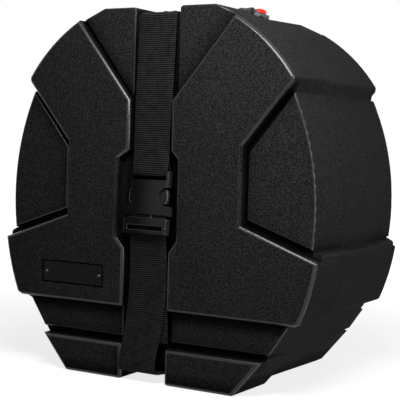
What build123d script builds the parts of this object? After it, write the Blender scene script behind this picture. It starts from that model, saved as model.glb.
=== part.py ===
from build123d import *
import math
import os

os.makedirs("parts", exist_ok=True)

# Driving dimensions, in millimetres. X runs to the viewer's right along the front, Y from the front to the
# rear, Z up. The origin is on the floor, under the middle of the whole.
case_width = 432.0
case_height = 443.0
case_depth = 253.0
lid_depth = 76.5
wall = 4.5
lip_length = 24.0
lip_gap = 1.0
side_flare = 5.2
corner_radius = 5.0
overrun = 20.0
soft_gap = 0.3

# The strap and the channel that it lies in. The channel's edges are measured from the middle.
strap_width = 50.8
strap_neck = 47.6
strap_thickness = 1.8
strap_shift = -0.4
strap_fold = 36.0
fold_start = 14.0
channel_top_left = 30.2
channel_top_right = 29.4
channel_under_left = 33.8
channel_under_right = 25.9
channel_top_depth = 8.0
channel_under_depth = 13.0
lean = 10.0
bulge = 17.75
slot_width = 48.4
neck_end_share = 0.745
neck_start_share = 0.610

# Face relief: how far each level lies behind the plane of the big panels.
floor_level = 13.0
triangle_level = 10.0
lens_level = 8.0
band_level = 9.0
foot_level = -1.5
rear_lens_level = 3.0
rear_foot_level = -5.0
panel_round = 4.4
low_panel_round = 1.8
pocket_step = 1.5

# The side-release buckle. It leans out at its foot. Its places are up or down from the line where its two
# halves meet, and across from its middle.
buckle_tilt = 9.0
buckle_up_share = 0.447
buckle_ahead = 2.25
socket_width = 54.0
socket_flare_width = 60.4
socket_thickness = 13.0
socket_top = 53.0
socket_body_top = 42.0
socket_bar = 4.0
socket_side_round = 4.5
socket_flare_top = 18.0
socket_flare_foot = 15.0
socket_flare_inset = 1.4
socket_cavity_width = 48.4
socket_cavity_thickness = 7.0
socket_cavity_top = 39.0
window_x = 27.2
window_up = 23.0
window_radius = 11.0
buckle_round = 1.6
buckle_seat = 0.8
plug_width = 58.0
plug_thickness = 9.0
plug_round = 2.0
plug_top = 2.6
plug_neck_thickness = 5.0
plug_drop = 22.0
plug_slot_top = 11.4
plug_slot_foot = 17.0
plug_pocket_top = 10.7
tongue_width = 14.0
tongue_length = 34.0
prong_thickness = 6.2
prong_root_x = 16.25
prong_root_radius = 1.9
prong_gap = 0.3
prong_shoulder = 2.2
prong_edge_x = 25.0
prong_belly_x = 26.6

# The folding handle: a bail between two brackets on the base's top.
pivot_back = 50.0
grip_reach = 34.0
grip_overhang = 11.0
grip_width = 20.0
grip_height = 13.0
grip_round = 5.0
grip_end_round = 2.5
insert_overhang = 1.0
insert_width = 13.0
insert_depth = 2.6
insert_proud = 0.5
insert_gap = 0.05
insert_corner = 4.3
arm_share = 0.2546
arm_width = 9.4
arm_radius = 4.2
arm_gap = 0.3
ear_thickness = 4.0
ear_radius = 4.8
land_drop = 1.8
land_depth = 8.0
bracket_plate = 2.5
bracket_width = 24.0
bracket_front = 15.0
bracket_rear = 8.0
pivot_height = 7.0
pin_radius = 2.5
pin_gap = 0.05
pin_head_radius = 3.8
pin_head = 1.5
screw_radius = 2.0
screw_gap = 0.05
screw_head_radius = 3.2
screw_head = 2.0
screw_spread = 7.0
screw_ahead = 10.0
backing_thickness = 2.0
screw_past = 1.0

# The bare plate in its recess on the viewer's left.
plate_across_share = -0.5083
plate_up_share = 0.2731
plate_width = 88.6
plate_height = 24.4
plate_thickness = 1.5
plate_recess_gap = 1.8
plate_recess_depth = 2.2
plate_corner = 1.5
plate_rivet_radius = 1.2
plate_rivet_head = 2.1
plate_rivet_dome = 0.8
plate_rivet_inset = 5.0

# Rivets that hold the strap to the base's rear.
strap_rivet_radius = 2.0
strap_rivet_head = 4.6
strap_rivet_dome = 1.6
strap_rivet_spread = 15.0
strap_rivet_tail = 3.7
strap_rivet_up_share = 0.6772
washer_radius = 7.0
washer_thickness = 1.0
rivet_gap = 0.05

# Foam inside.
pad_thickness = 10.0
pad_margin = 31.0
pad_clearance = 5.0
pad_inner_angle = 20.0
pad_outer_angle = 70.0

drum_z = (case_height - channel_top_depth + channel_under_depth) / 2
half_width = case_width / 2
tilt_sine = math.sin(math.radians(buckle_tilt))
tilt_cosine = math.cos(math.radians(buckle_tilt))
buckle_reach = (
    buckle_ahead
    + (plug_thickness / 2 - plug_round) * tilt_cosine
    + (plug_drop - plug_round) * tilt_sine
    + plug_round
)
front_y = (buckle_reach + rear_foot_level) / 2 - case_depth / 2
rear_y = front_y + case_depth
seam_y = front_y + lid_depth
lid_floor_y = front_y + floor_level
base_floor_y = rear_y - floor_level

# Right half of the outline from the channel's top edge clockwise to its edge at the sole: across as a share
# of the half width, up as a share of the height, and whether the point is the middle of an arc.
outline_shares = [
    (0.353, 1.000, False),
    (0.486, 0.9715, False),
    (0.6537, 0.9155, True),
    (0.840, 0.8135, False),
    (0.828, 0.7765, False),
    (0.960, 0.542, True),
    (0.9537, 0.386, False),
    (1.000, 0.3747, False),
    (0.966, 0.2867, True),
    (0.907, 0.2027, False),
    (0.829, 0.1874, False),
    (0.708, 0.0993, False),
    (0.539, 0.000, False),
]

# How far across from the middle the inner edges of the panels are, on the viewer's right (1) and left (-1).
inner_shares = {
    1: {"triangle": 0.139, "upper": 0.125, "recess": 0.165, "lower": 0.120, "band": 0.134, "foot": 0.1225},
    -1: {"triangle": 0.1426, "upper": 0.142, "recess": 0.2145, "lower": 0.162, "band": 0.176, "foot": 0.159},
}

# Panels of one side, as shares of the same two sizes. A word stands for an inner edge, and a panel that
# reaches the case's edge runs past it here and is cut back to the outline.
triangle_shares = [("triangle", 0.757), (0.587, 1.038), ("triangle", 1.038)]
big_upper_shares = [(0.610, 1.038), ("upper", 0.7533)]
recess_shares = [("upper", 0.620), ("recess", 0.598), ("recess", 0.384), ("lower", 0.355)]
big_lower_shares = [("lower", 0.1965), (1.111, 0.1965), (1.111, 0.3398)]
big_lens_shares = [(0.558, 0.4368), (0.560, 0.639), (1.065, 0.936)]
lens_shares = [(0.577, 0.6239), (0.577, 0.4510), (1.111, 0.3605), (1.111, 0.9445)]
band_shares = [("band", 0.1135), (1.000, 0.1135), (1.000, 0.220), ("band", 0.220)]
foot_shares = [("foot", -0.030), (1.000, -0.030), (1.000, 0.097), ("foot", 0.097)]
bumper_shares = [(0.600, 0.106), (1.000, 0.106), (1.000, 0.172), (0.600, 0.162)]
big_front_shares = big_upper_shares + recess_shares + big_lower_shares + big_lens_shares
big_rear_shares = big_upper_shares + big_lower_shares + big_lens_shares

# The strap's lower run: how far it leans, how far it stands off the channel's floor, and its height as a
# share of the case's, then the turn under the lid with its height as a share of the bend's radius, and the
# tail that hangs behind.
run_shares = [
    (0.00, 0.780, 0.3883),
    (0.00, 0.634, 0.3160),
    (0.00, 0.668, 0.2257),
    (0.46, 0.859, 0.1196),
    (0.90, 0.989, 0.0610),
]
turn_shares = [(1.00, 1.000, 1.0), (0.94, 0.899, 0.3), (0.78, 0.651, 0.0), (0.26, 0.017, 0.0)]
tail_shares = [(0.00, 0.656, 0.3883), (-0.02, 0.504, 0.3160), (-0.04, 0.431, 0.2032), (-0.13, 0.386, 0.1084)]


def at_y(y):
    """The upright plane at y."""
    return Plane.XZ.offset(-y)


def placed(shares, side):
    """Turns shares of the half width and height into places on one side of the face."""
    inner = inner_shares[side]
    return [(inner.get(across, across) * half_width, up * case_height) for across, up in shares]


def outline_chain(flare, inset, side):
    """One half of the outline from the top middle to the bottom middle, drawn in by inset."""
    top_edge = channel_top_right if side > 0 else channel_top_left
    under_edge = channel_under_right if side > 0 else channel_under_left
    top = case_height - channel_top_depth
    chain = [(0, top, False), (top_edge, top, False), (top_edge, case_height, False)]
    for across, up, middle in outline_shares:
        chain.append((across * (half_width + flare), up * case_height, middle))
    under = channel_under_depth
    chain += [(under_edge, 0, False), (under_edge, under, False), (0, under, False)]
    drawn_in = []
    for index, (x, z, middle) in enumerate(chain):
        before = chain[max(index - 1, 0)]
        after = chain[min(index + 1, len(chain) - 1)]
        if index == 0:
            before = (x - after[0], z, False)
        if index == len(chain) - 1:
            after = (x - before[0], z, False)
        first = Vector(x - before[0], z - before[1]).normalized()
        second = Vector(after[0] - x, after[1] - z).normalized()
        normal_first = Vector(first.Y, -first.X)
        normal_second = Vector(second.Y, -second.X)
        mean = (normal_first + normal_second).normalized()
        reach = inset / mean.dot(normal_first)
        drawn_in.append((x + mean.X * reach, z + mean.Y * reach, middle))
    return drawn_in


def outline_face(plane, flare, inset, rounding):
    """The whole outline as a face in the plane, with its outward corners rounded."""
    rounded = []
    with BuildSketch(plane) as face:
        with BuildLine():
            for side in (1, -1):
                chain = [(side * x, z, middle) for x, z, middle in outline_chain(flare, inset, side)]
                for index in range(1, len(chain)):
                    start, end = chain[index - 1], chain[index]
                    if end[2]:
                        ThreePointArc(start[:2], end[:2], chain[index + 1][:2])
                    elif not start[2]:
                        Line(start[:2], end[:2])
                    if index < len(chain) - 1 and not end[2]:
                        after = chain[index + 1]
                        first = Vector(end[0] - start[0], end[1] - start[1])
                        second = Vector(after[0] - end[0], after[1] - end[1])
                        if side * first.cross(second).Z < 0:
                            rounded.append(Vector(end[0], end[1]))
        make_face()
        if rounding > 0:
            corners = [
                corner
                for corner in face.vertices()
                if any((Vector(corner.X, corner.Y) - place).length < soft_gap for place in rounded)
            ]
            fillet(corners, rounding)
    return face.sketch


def panel(points, y, level_y, inset, rounding, side):
    """One raised panel or the pocket behind it: from the plane at y to the plane at level_y."""
    with BuildPart() as raised:
        with BuildSketch(at_y(y)):
            with BuildLine():
                Polyline([(side * x, z) for x, z in points], close=True)
            make_face()
            add(outline_local, mode=Mode.INTERSECT)
            if inset > 0:
                offset(amount=-inset, kind=Kind.INTERSECTION)
        extrude(amount=y - level_y)
        if rounding > 0:
            rim = faces().filter_by(Axis.Y).sort_by(Axis.Y)
            rim = rim[0] if level_y < y else rim[-1]
            fillet(rim.edges(), rounding)
    return raised.part


outline_local = outline_face(Plane.XY, 0, 0, corner_radius)


def flare_at(y):
    """How much wider than the front each side of the lid is at y."""
    return side_flare * (y - lid_floor_y) / (seam_y - lid_floor_y)


front_levels = [
    (big_front_shares, 0, panel_round),
    (foot_shares, foot_level, panel_round),
    (lens_shares, lens_level, panel_round - low_panel_round),
    (triangle_shares, triangle_level, low_panel_round),
    (band_shares, band_level, low_panel_round),
]
rear_levels = [
    (big_rear_shares, 0, panel_round),
    (foot_shares, rear_foot_level, panel_round),
    (bumper_shares, rear_foot_level, panel_round),
    (lens_shares, rear_lens_level, panel_round - low_panel_round),
    (triangle_shares, triangle_level, low_panel_round),
    (band_shares, band_level, low_panel_round),
]


def relief(levels, floor_y, forward, inset, extra):
    """The panels of one face, or with an inset the pockets behind them; forward is -1 or 1 along Y."""
    pieces = []
    drawn_in = inset + pocket_step if inset > 0 else 0
    for shares, level, rounding in levels:
        level_y = floor_y + forward * (floor_level - level)
        if inset > 0:
            if level > lens_level:
                continue
            level_y -= forward * inset
            rounding = 0
        for side in (1, -1):
            points = placed(shares, side)
            pieces.append(panel(points, floor_y - forward * extra, level_y, drawn_in, rounding, side))
    return pieces


lid_panels = relief(front_levels, lid_floor_y, -1, 0, 0)
lid_pockets = relief(front_levels, lid_floor_y, -1, wall, wall + soft_gap)
lid_front_face = outline_face(at_y(lid_floor_y), 0, 0, corner_radius)
lid_seam_face = outline_face(at_y(seam_y), side_flare, 0, corner_radius)
lid_inner_y = lid_floor_y + wall
lid_inner_front = outline_face(at_y(lid_inner_y), flare_at(lid_inner_y), wall, 0)
lid_inner_seam = outline_face(at_y(seam_y), side_flare, wall, 0)


def strap_edges(part, y):
    """The two edges of the channel that the strap bends over, in the plane at y."""
    tops = (case_height - channel_top_depth, channel_under_depth)
    return [
        edge
        for edge in part.edges().filter_by(Axis.X)
        if abs(edge.center().Y - y) < soft_gap and any(abs(edge.center().Z - z) < soft_gap for z in tops)
    ]


# The lid: a deep tray with its relief standing forward of the floor of the channel and the grooves.
plate_x = half_width * plate_across_share
plate_z = case_height * plate_up_share
plate_holes_x = plate_width / 2 - plate_rivet_inset
with BuildPart() as lid_shell:
    loft([lid_front_face, lid_seam_face], ruled=True)
    fillet(strap_edges(lid_shell, lid_floor_y), corner_radius)
    for piece in lid_panels:
        add(piece)
    loft([lid_inner_front, lid_inner_seam], ruled=True, mode=Mode.SUBTRACT)
    for piece in lid_pockets:
        add(piece, mode=Mode.SUBTRACT)
    with BuildSketch(at_y(front_y)):
        with Locations((plate_x, plate_z)):
            Rectangle(plate_width + plate_recess_gap * 2, plate_height + plate_recess_gap * 2)
    extrude(amount=-plate_recess_depth, mode=Mode.SUBTRACT)
    with BuildSketch(at_y(front_y)):
        with Locations((plate_x - plate_holes_x, plate_z), (plate_x + plate_holes_x, plate_z)):
            Circle(plate_rivet_radius + rivet_gap)
    extrude(amount=-overrun, mode=Mode.SUBTRACT)
lid_shell.part.label = "lid_shell"
export_step(lid_shell.part, "parts/lid_shell.step")

base_panels = relief(rear_levels, base_floor_y, 1, 0, 0)
base_pockets = relief(rear_levels, base_floor_y, 1, wall, wall + soft_gap)
lip_y = seam_y - lip_length
base_inset = wall + lip_gap
base_seam_face = outline_face(at_y(seam_y), side_flare, base_inset, corner_radius)
base_rear_face = outline_face(at_y(base_floor_y), 0, 0, corner_radius)
lip_front_face = outline_face(at_y(lip_y), flare_at(lip_y), base_inset, 0)
lip_seam_face = outline_face(at_y(seam_y), side_flare, base_inset, 0)
mouth_face = outline_face(at_y(lip_y), flare_at(lip_y), base_inset + wall, 0)
inner_seam_face = outline_face(at_y(seam_y), side_flare, base_inset + wall, 0)
base_inner_y = base_floor_y - wall
inner_rear_face = outline_face(at_y(base_inner_y), 0, wall, 0)
land_z = case_height - land_drop
land_inner_z = land_z - land_depth
land_length = bracket_front + bracket_rear
pivot_y = seam_y + pivot_back
arm_x = half_width * arm_share
land_y = pivot_y + (bracket_rear - bracket_front) / 2
land_places = [(side * arm_x, land_y) for side in (1, -1)]
screw_y = pivot_y - screw_ahead
screw_places = []
for side in (1, -1):
    screw_places.append((side * arm_x - screw_spread, screw_y))
    screw_places.append((side * arm_x + screw_spread, screw_y))
strap_rivet_z = case_height * strap_rivet_up_share
strap_rivet_places = [(-strap_rivet_spread, strap_rivet_z), (strap_rivet_spread, strap_rivet_z)]

# The base: the rear half, with a lip that the lid slides over and flat lands for the handle's brackets.
with BuildPart() as base_shell:
    loft([base_seam_face, base_rear_face], ruled=True)
    fillet(strap_edges(base_shell, base_floor_y), corner_radius)
    for piece in base_panels:
        add(piece)
    loft([lip_front_face, lip_seam_face], ruled=True)
    with BuildSketch(Plane.XY.offset(land_z)):
        with Locations(*land_places):
            Rectangle(bracket_width, land_length)
    extrude(amount=land_inner_z - land_z)
    loft([mouth_face, inner_seam_face], ruled=True, mode=Mode.SUBTRACT)
    loft([inner_seam_face, inner_rear_face], ruled=True, mode=Mode.SUBTRACT)
    with BuildSketch(Plane.XY.offset(land_z)):
        with Locations(*land_places):
            Rectangle(bracket_width, land_length)
    extrude(amount=land_inner_z - land_z)
    for piece in base_pockets:
        add(piece, mode=Mode.SUBTRACT)
    with BuildSketch(Plane.XY.offset(land_z)):
        with Locations(*screw_places):
            Circle(screw_radius + screw_gap)
    extrude(amount=-overrun, mode=Mode.SUBTRACT)
    with BuildSketch(at_y(base_floor_y)):
        with Locations(*strap_rivet_places):
            Circle(strap_rivet_radius + rivet_gap)
    extrude(amount=overrun, both=True, mode=Mode.SUBTRACT)
base_shell.part.label = "base_shell"
export_step(base_shell.part, "parts/base_shell.step")

# Foam: a round sheet on each flat inner face, and a block at each corner that holds the drum's shell.
disc_radius = half_width - pad_margin
with BuildPart() as lid_pad:
    with BuildSketch(at_y(lid_inner_y + soft_gap)):
        with Locations((0, drum_z)):
            Circle(disc_radius)
    extrude(amount=-pad_thickness)
lid_pad.part.label = "lid_pad"
export_step(lid_pad.part, "parts/lid_pad.step")

with BuildPart() as base_pad:
    with BuildSketch(at_y(base_inner_y - soft_gap)):
        with Locations((0, drum_z)):
            Circle(disc_radius)
        with Locations(*strap_rivet_places):
            Circle(washer_radius + washer_thickness, mode=Mode.SUBTRACT)
    extrude(amount=pad_thickness)
base_pad.part.label = "base_pad"
export_step(base_pad.part, "parts/base_pad.step")

pad_outline = outline_face(Plane.XY, side_flare, base_inset + wall + soft_gap, 0)
pad_outline_rear = outline_face(Plane.XY, 0, wall + soft_gap, 0)
pad_reach = half_width * 2
for up, level_name in ((1, "upper"), (-1, "lower")):
    for across, side_name in ((1, "right"), (-1, "left")):
        rays = []
        for angle in (math.radians(pad_inner_angle), math.radians(pad_outer_angle)):
            rays.append((across * math.sin(angle) * pad_reach, drum_z + up * math.cos(angle) * pad_reach))
        with BuildPart() as wall_pad:
            with BuildSketch(at_y(base_inner_y - soft_gap)):
                with BuildLine():
                    Polyline([(0, drum_z)] + rays, close=True)
                make_face()
                add(pad_outline, mode=Mode.INTERSECT)
                add(pad_outline_rear, mode=Mode.INTERSECT)
                with Locations((0, drum_z)):
                    Circle(disc_radius + pad_clearance, mode=Mode.SUBTRACT)
            extrude(amount=base_inner_y - soft_gap - seam_y)
        pad_name = "wall_pad_" + level_name + "_" + side_name
        wall_pad.part.label = pad_name
        export_step(wall_pad.part, "parts/" + pad_name + ".step")

# The strap. Its routes are side views of its middle layer, from the seam round to the buckle.
buckle_y = front_y - buckle_ahead
buckle_middle_z = case_height * buckle_up_share
buckle_face = Plane(
    origin=(strap_shift, buckle_y, buckle_middle_z), x_dir=(1, 0, 0), z_dir=(0, -tilt_cosine, tilt_sine)
)


def on_buckle(back, up):
    """The place in side view that lies back from the buckle's middle plane and up along it."""
    return Vector(
        buckle_y + back * tilt_cosine + up * tilt_sine,
        buckle_middle_z - back * tilt_sine + up * tilt_cosine,
    )


half_thick = strap_thickness / 2
bar_bend = soft_gap + half_thick
strap_top_z = case_height - channel_top_depth + soft_gap + half_thick
strap_under_z = channel_under_depth - soft_gap - half_thick
bend = corner_radius + soft_gap + half_thick
bar_reach = socket_bar / 2 + soft_gap + half_thick
bar_up = socket_top - socket_bar / 2
layer = strap_thickness + soft_gap
top_corner = Vector(lid_floor_y - soft_gap - half_thick, strap_top_z)
under_bar = on_buckle(-bar_reach - soft_gap * 2, bar_up - bar_reach)
run = (top_corner - under_bar).normalized()
behind = Vector(run.Y, -run.X) * layer
upper_route = [
    (seam_y, strap_top_z),
    top_corner,
    under_bar,
    on_buckle(bar_reach, bar_up - bar_reach),
    on_buckle(bar_reach, bar_up + bar_reach),
    under_bar + run * fold_start + behind,
    under_bar + run * strap_fold + behind,
]
with BuildPart() as strap_front_upper:
    with BuildSketch(Plane.YZ.offset(strap_shift - strap_width / 2)):
        with BuildLine():
            FilletPolyline(upper_route, radius=[bend, bar_bend, bar_bend, bar_bend, bar_bend])
        trace(line_width=strap_thickness)
    extrude(amount=strap_width)
    neck_foot_z = buckle_middle_z
    neck_top_z = case_height * neck_end_share
    neck_start_z = case_height * neck_start_share
    for side in (1, -1):
        edge = strap_shift + side * strap_width / 2
        neck = strap_shift + side * strap_neck / 2
        outside = edge + side * soft_gap
        with BuildSketch(at_y(seam_y)):
            with BuildLine():
                Polyline(
                    (outside, neck_foot_z),
                    (neck, neck_foot_z),
                    (neck, neck_start_z),
                    (edge, neck_top_z),
                    (outside, neck_top_z),
                    close=True,
                )
            make_face()
        extrude(amount=seam_y - front_y + overrun, mode=Mode.SUBTRACT)
strap_front_upper.part.label = "strap_front_upper"
export_step(strap_front_upper.part, "parts/strap_front_upper.step")

base_route = [
    (seam_y, strap_top_z),
    (base_floor_y + soft_gap + half_thick, strap_top_z),
    (base_floor_y + soft_gap + half_thick, strap_under_z),
    (seam_y, strap_under_z),
]
with BuildPart() as strap_base:
    with BuildSketch(Plane.YZ.offset(strap_shift - strap_width / 2)):
        with BuildLine():
            FilletPolyline(base_route, radius=bend)
        trace(line_width=strap_thickness)
    extrude(amount=strap_width)
    with BuildSketch(at_y(base_floor_y)):
        with Locations(*strap_rivet_places):
            Circle(strap_rivet_radius + rivet_gap)
    extrude(amount=-overrun, mode=Mode.SUBTRACT)
strap_base.part.label = "strap_base"
export_step(strap_base.part, "parts/strap_base.step")


def hanging(shares):
    """Places on the lower run or the tail, from shares of its lean, its bulge and the case's height."""
    stations = []
    for across, off, up in shares:
        stations.append((strap_shift - lean * across, lid_floor_y - bulge * off, case_height * up))
    return stations


def band_sections(stations, widths):
    """A cross section of the webbing at each station, square to its run in side view."""
    sections = []
    for index, station in enumerate(stations):
        before = Vector(*stations[max(index - 1, 0)])
        after = Vector(*stations[min(index + 1, len(stations) - 1)])
        here = Vector(*station)
        into = (here - before).normalized() if index > 0 else (after - here).normalized()
        away = (after - here).normalized() if index < len(stations) - 1 else into
        along = Vector(0, into.Y + away.Y, into.Z + away.Z)
        with BuildSketch(Plane(origin=here, x_dir=(1, 0, 0), z_dir=along)) as section:
            Rectangle(widths[index], strap_thickness)
        sections.append(section.sketch)
    return sections


# The lower run leans to the viewer's left on its way down, then turns under between the feet. The free end
# hangs down straight behind it.
pocket_up = -plug_pocket_top - soft_gap * 2
run_top = on_buckle(soft_gap + half_thick, pocket_up)
tail_top = on_buckle(soft_gap + half_thick + layer, pocket_up)
widening = (strap_neck + strap_width) / 2
lower_stations = [(strap_shift, run_top.X, run_top.Y)] + hanging(run_shares)
for across, off, up in turn_shares:
    lower_stations.append((strap_shift - lean * across, lid_floor_y - bulge * off, strap_under_z + bend * up))
lower_stations.append((strap_shift, seam_y, strap_under_z))
lower_widths = [strap_neck, strap_neck, widening] + [strap_width] * (len(lower_stations) - 3)
with BuildPart() as strap_front_lower:
    loft(band_sections(lower_stations, lower_widths), ruled=True)
strap_front_lower.part.label = "strap_front_lower"
export_step(strap_front_lower.part, "parts/strap_front_lower.step")

tail_stations = [(strap_shift, tail_top.X, tail_top.Y)] + hanging(tail_shares)
tail_widths = [strap_neck, strap_neck, widening, strap_width, strap_width]
with BuildPart() as strap_tail:
    loft(band_sections(tail_stations, tail_widths), ruled=True)
strap_tail.part.label = "strap_tail"
export_step(strap_tail.part, "parts/strap_tail.step")

rivet_tail_y = base_inner_y - washer_thickness
rivet_head_y = base_floor_y + soft_gap * 2 + strap_thickness
with BuildPart() as strap_rivets:
    for side in (1, -1):
        with BuildSketch(at_y(rivet_tail_y)):
            with Locations((side * strap_rivet_spread, strap_rivet_z)):
                Circle(strap_rivet_radius)
        extrude(amount=rivet_tail_y - rivet_head_y)
        with BuildSketch(at_y(rivet_head_y)):
            with Locations((side * strap_rivet_spread, strap_rivet_z)):
                Circle(strap_rivet_head)
        extrude(amount=-strap_rivet_dome, taper=30)
        with BuildSketch(at_y(rivet_tail_y)):
            with Locations((side * strap_rivet_spread, strap_rivet_z)):
                Circle(strap_rivet_tail)
        extrude(amount=strap_rivet_dome)
strap_rivets.part.label = "strap_rivets"
export_step(strap_rivets.part, "parts/strap_rivets.step")

with BuildPart() as strap_washers:
    with BuildSketch(at_y(base_inner_y)):
        with Locations(*strap_rivet_places):
            Circle(washer_radius)
            Circle(strap_rivet_radius + rivet_gap, mode=Mode.SUBTRACT)
    extrude(amount=washer_thickness)
strap_washers.part.label = "strap_washers"
export_step(strap_washers.part, "parts/strap_washers.step")

# The buckle's hollow half. Its side windows show the prongs, and the strap is folded round its top bar.
buckle_x_axis = Axis(buckle_face.origin, buckle_face.x_dir)
buckle_up_axis = Axis(buckle_face.origin, buckle_face.y_dir)
flare_foot_x = socket_flare_width / 2
flare_neck_x = flare_foot_x - socket_flare_inset
socket_x = socket_width / 2
with BuildPart() as buckle_socket:
    with BuildSketch(buckle_face):
        with BuildLine():
            Polyline(
                (0, buckle_seat),
                (flare_foot_x, buckle_seat),
                (flare_neck_x, socket_flare_foot),
                (socket_x, socket_flare_top),
                (socket_x, socket_top),
                (0, socket_top),
            )
            mirror(about=Plane.YZ)
        make_face()
    extrude(amount=socket_thickness / 2, both=True)
    upright = buckle_socket.edges().filter_by(buckle_up_axis)
    fillet(upright, socket_side_round)
    fillet(buckle_socket.edges().filter_by(buckle_x_axis).sort_by(buckle_up_axis)[:2], buckle_round)
    with BuildSketch(buckle_face):
        with Locations((0, socket_body_top)):
            Rectangle(slot_width, socket_top, align=(Align.CENTER, Align.MIN))
    extrude(amount=socket_thickness, both=True, mode=Mode.SUBTRACT)
    with BuildSketch(buckle_face):
        with Locations((0, socket_top)):
            Rectangle(slot_width, socket_bar, align=(Align.CENTER, Align.MAX))
    extrude(amount=socket_bar / 2, both=True)
    with BuildSketch(buckle_face):
        with Locations((-window_x, window_up), (window_x, window_up)):
            Circle(window_radius)
    extrude(amount=socket_thickness, both=True, mode=Mode.SUBTRACT)
    with BuildSketch(buckle_face):
        with Locations((0, buckle_seat)):
            Rectangle(socket_cavity_width, socket_cavity_top - buckle_seat, align=(Align.CENTER, Align.MIN))
    extrude(amount=socket_cavity_thickness / 2, both=True, mode=Mode.SUBTRACT)
buckle_socket.part.label = "buckle_socket"
export_step(buckle_socket.part, "parts/buckle_socket.step")

# The plug: a ladder-lock frame with a tongue that guides it into the socket.
with BuildPart() as buckle_plug:
    with BuildSketch(buckle_face):
        with Locations((0, -plug_top)):
            Rectangle(plug_width, plug_drop - plug_top, align=(Align.CENTER, Align.MAX))
    extrude(amount=plug_thickness / 2, both=True)
    fillet(buckle_plug.edges().filter_by(buckle_x_axis), plug_round)
    with BuildSketch(buckle_face):
        with Locations((0, -plug_pocket_top)):
            Rectangle(slot_width, plug_drop, align=(Align.CENTER, Align.MAX))
    extrude(amount=-plug_thickness, mode=Mode.SUBTRACT)
    with BuildSketch(buckle_face):
        with Locations((0, -plug_slot_top)):
            Rectangle(slot_width, plug_slot_foot - plug_slot_top, align=(Align.CENTER, Align.MAX))
    extrude(amount=plug_thickness, both=True, mode=Mode.SUBTRACT)
    with BuildSketch(buckle_face):
        with Locations((0, 0)):
            Rectangle(slot_width, plug_top + plug_round, align=(Align.CENTER, Align.MAX))
    extrude(amount=plug_neck_thickness / 2, both=True)
    with BuildSketch(buckle_face):
        with Locations((0, -plug_top)):
            Rectangle(tongue_width, tongue_length + plug_top, align=(Align.CENTER, Align.MIN))
    extrude(amount=prong_thickness / 2, both=True)
buckle_plug.part.label = "buckle_plug"
export_step(buckle_plug.part, "parts/buckle_plug.step")

# A prong turns about its root, and its head fills the window's mouth.
root_up = prong_gap + prong_root_radius
waist_x = window_x - window_radius
head_foot = window_up - window_radius + prong_shoulder
head_top = window_up + window_radius - prong_shoulder
for side, side_name in ((1, "right"), (-1, "left")):
    root_inner = (side * (prong_root_x - prong_root_radius), root_up)
    with BuildPart() as prong:
        with BuildSketch(buckle_face):
            with BuildLine():
                Polyline(
                    root_inner,
                    (side * (prong_root_x + prong_root_radius), root_up),
                    (side * (waist_x + prong_gap), head_foot),
                    (side * prong_edge_x, head_foot),
                )
                ThreePointArc(
                    (side * prong_edge_x, head_foot),
                    (side * prong_belly_x, window_up),
                    (side * prong_edge_x, head_top),
                )
                Polyline(
                    (side * prong_edge_x, head_top),
                    (side * waist_x, window_up + window_radius - prong_gap),
                    (side * (waist_x - prong_root_radius), window_up),
                    root_inner,
                )
            make_face()
            with Locations((side * prong_root_x, root_up)):
                Circle(prong_root_radius)
        extrude(amount=prong_thickness / 2, both=True)
    prong.part.label = "buckle_prong_" + side_name
    export_step(prong.part, "parts/buckle_prong_" + side_name + ".step")

# The folding handle, lying down to the rear.
pivot_z = land_z + pivot_height
grip_y = pivot_y + grip_reach
grip_z = land_z + grip_height / 2 - soft_gap
grip_half_length = arm_x + grip_overhang
insert_length = (arm_x + insert_overhang) * 2
with BuildPart() as handle_grip:
    with BuildSketch(Plane.YZ):
        with Locations((grip_y, grip_z)):
            RectangleRounded(grip_width, grip_height, grip_round)
    extrude(amount=grip_half_length, both=True)
    fillet(handle_grip.faces().filter_by(Axis.X).edges(), grip_end_round)
    for side in (1, -1):
        with BuildSketch(Plane.YZ.offset(side * arm_x)):
            with BuildLine():
                Polyline(
                    (grip_y, pivot_z - arm_radius),
                    (pivot_y, pivot_z - arm_radius),
                    (pivot_y, pivot_z + arm_radius),
                    (grip_y, grip_z + grip_height / 2 - grip_end_round),
                    close=True,
                )
            make_face()
            with Locations((pivot_y, pivot_z)):
                Circle(arm_radius)
        extrude(amount=arm_width / 2, both=True)
    with BuildSketch(Plane.YZ):
        with Locations((pivot_y, pivot_z)):
            Circle(pin_radius + pin_gap)
    extrude(amount=grip_half_length, both=True, mode=Mode.SUBTRACT)
    with BuildSketch(Plane.XY.offset(grip_z + grip_height / 2 - insert_depth)):
        with Locations((0, grip_y)):
            RectangleRounded(insert_length + insert_gap * 2, insert_width + insert_gap * 2, insert_corner)
    extrude(amount=overrun, mode=Mode.SUBTRACT)
handle_grip.part.label = "handle_grip"
export_step(handle_grip.part, "parts/handle_grip.step")

with BuildPart() as handle_insert:
    with BuildSketch(Plane.XY.offset(grip_z + grip_height / 2 - insert_depth)):
        with Locations((0, grip_y)):
            RectangleRounded(insert_length, insert_width, insert_corner)
    extrude(amount=insert_depth + insert_proud)
    fillet(handle_insert.faces().sort_by(Axis.Z)[-1].edges(), insert_proud)
handle_insert.part.label = "handle_insert"
export_step(handle_insert.part, "parts/handle_insert.step")

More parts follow.
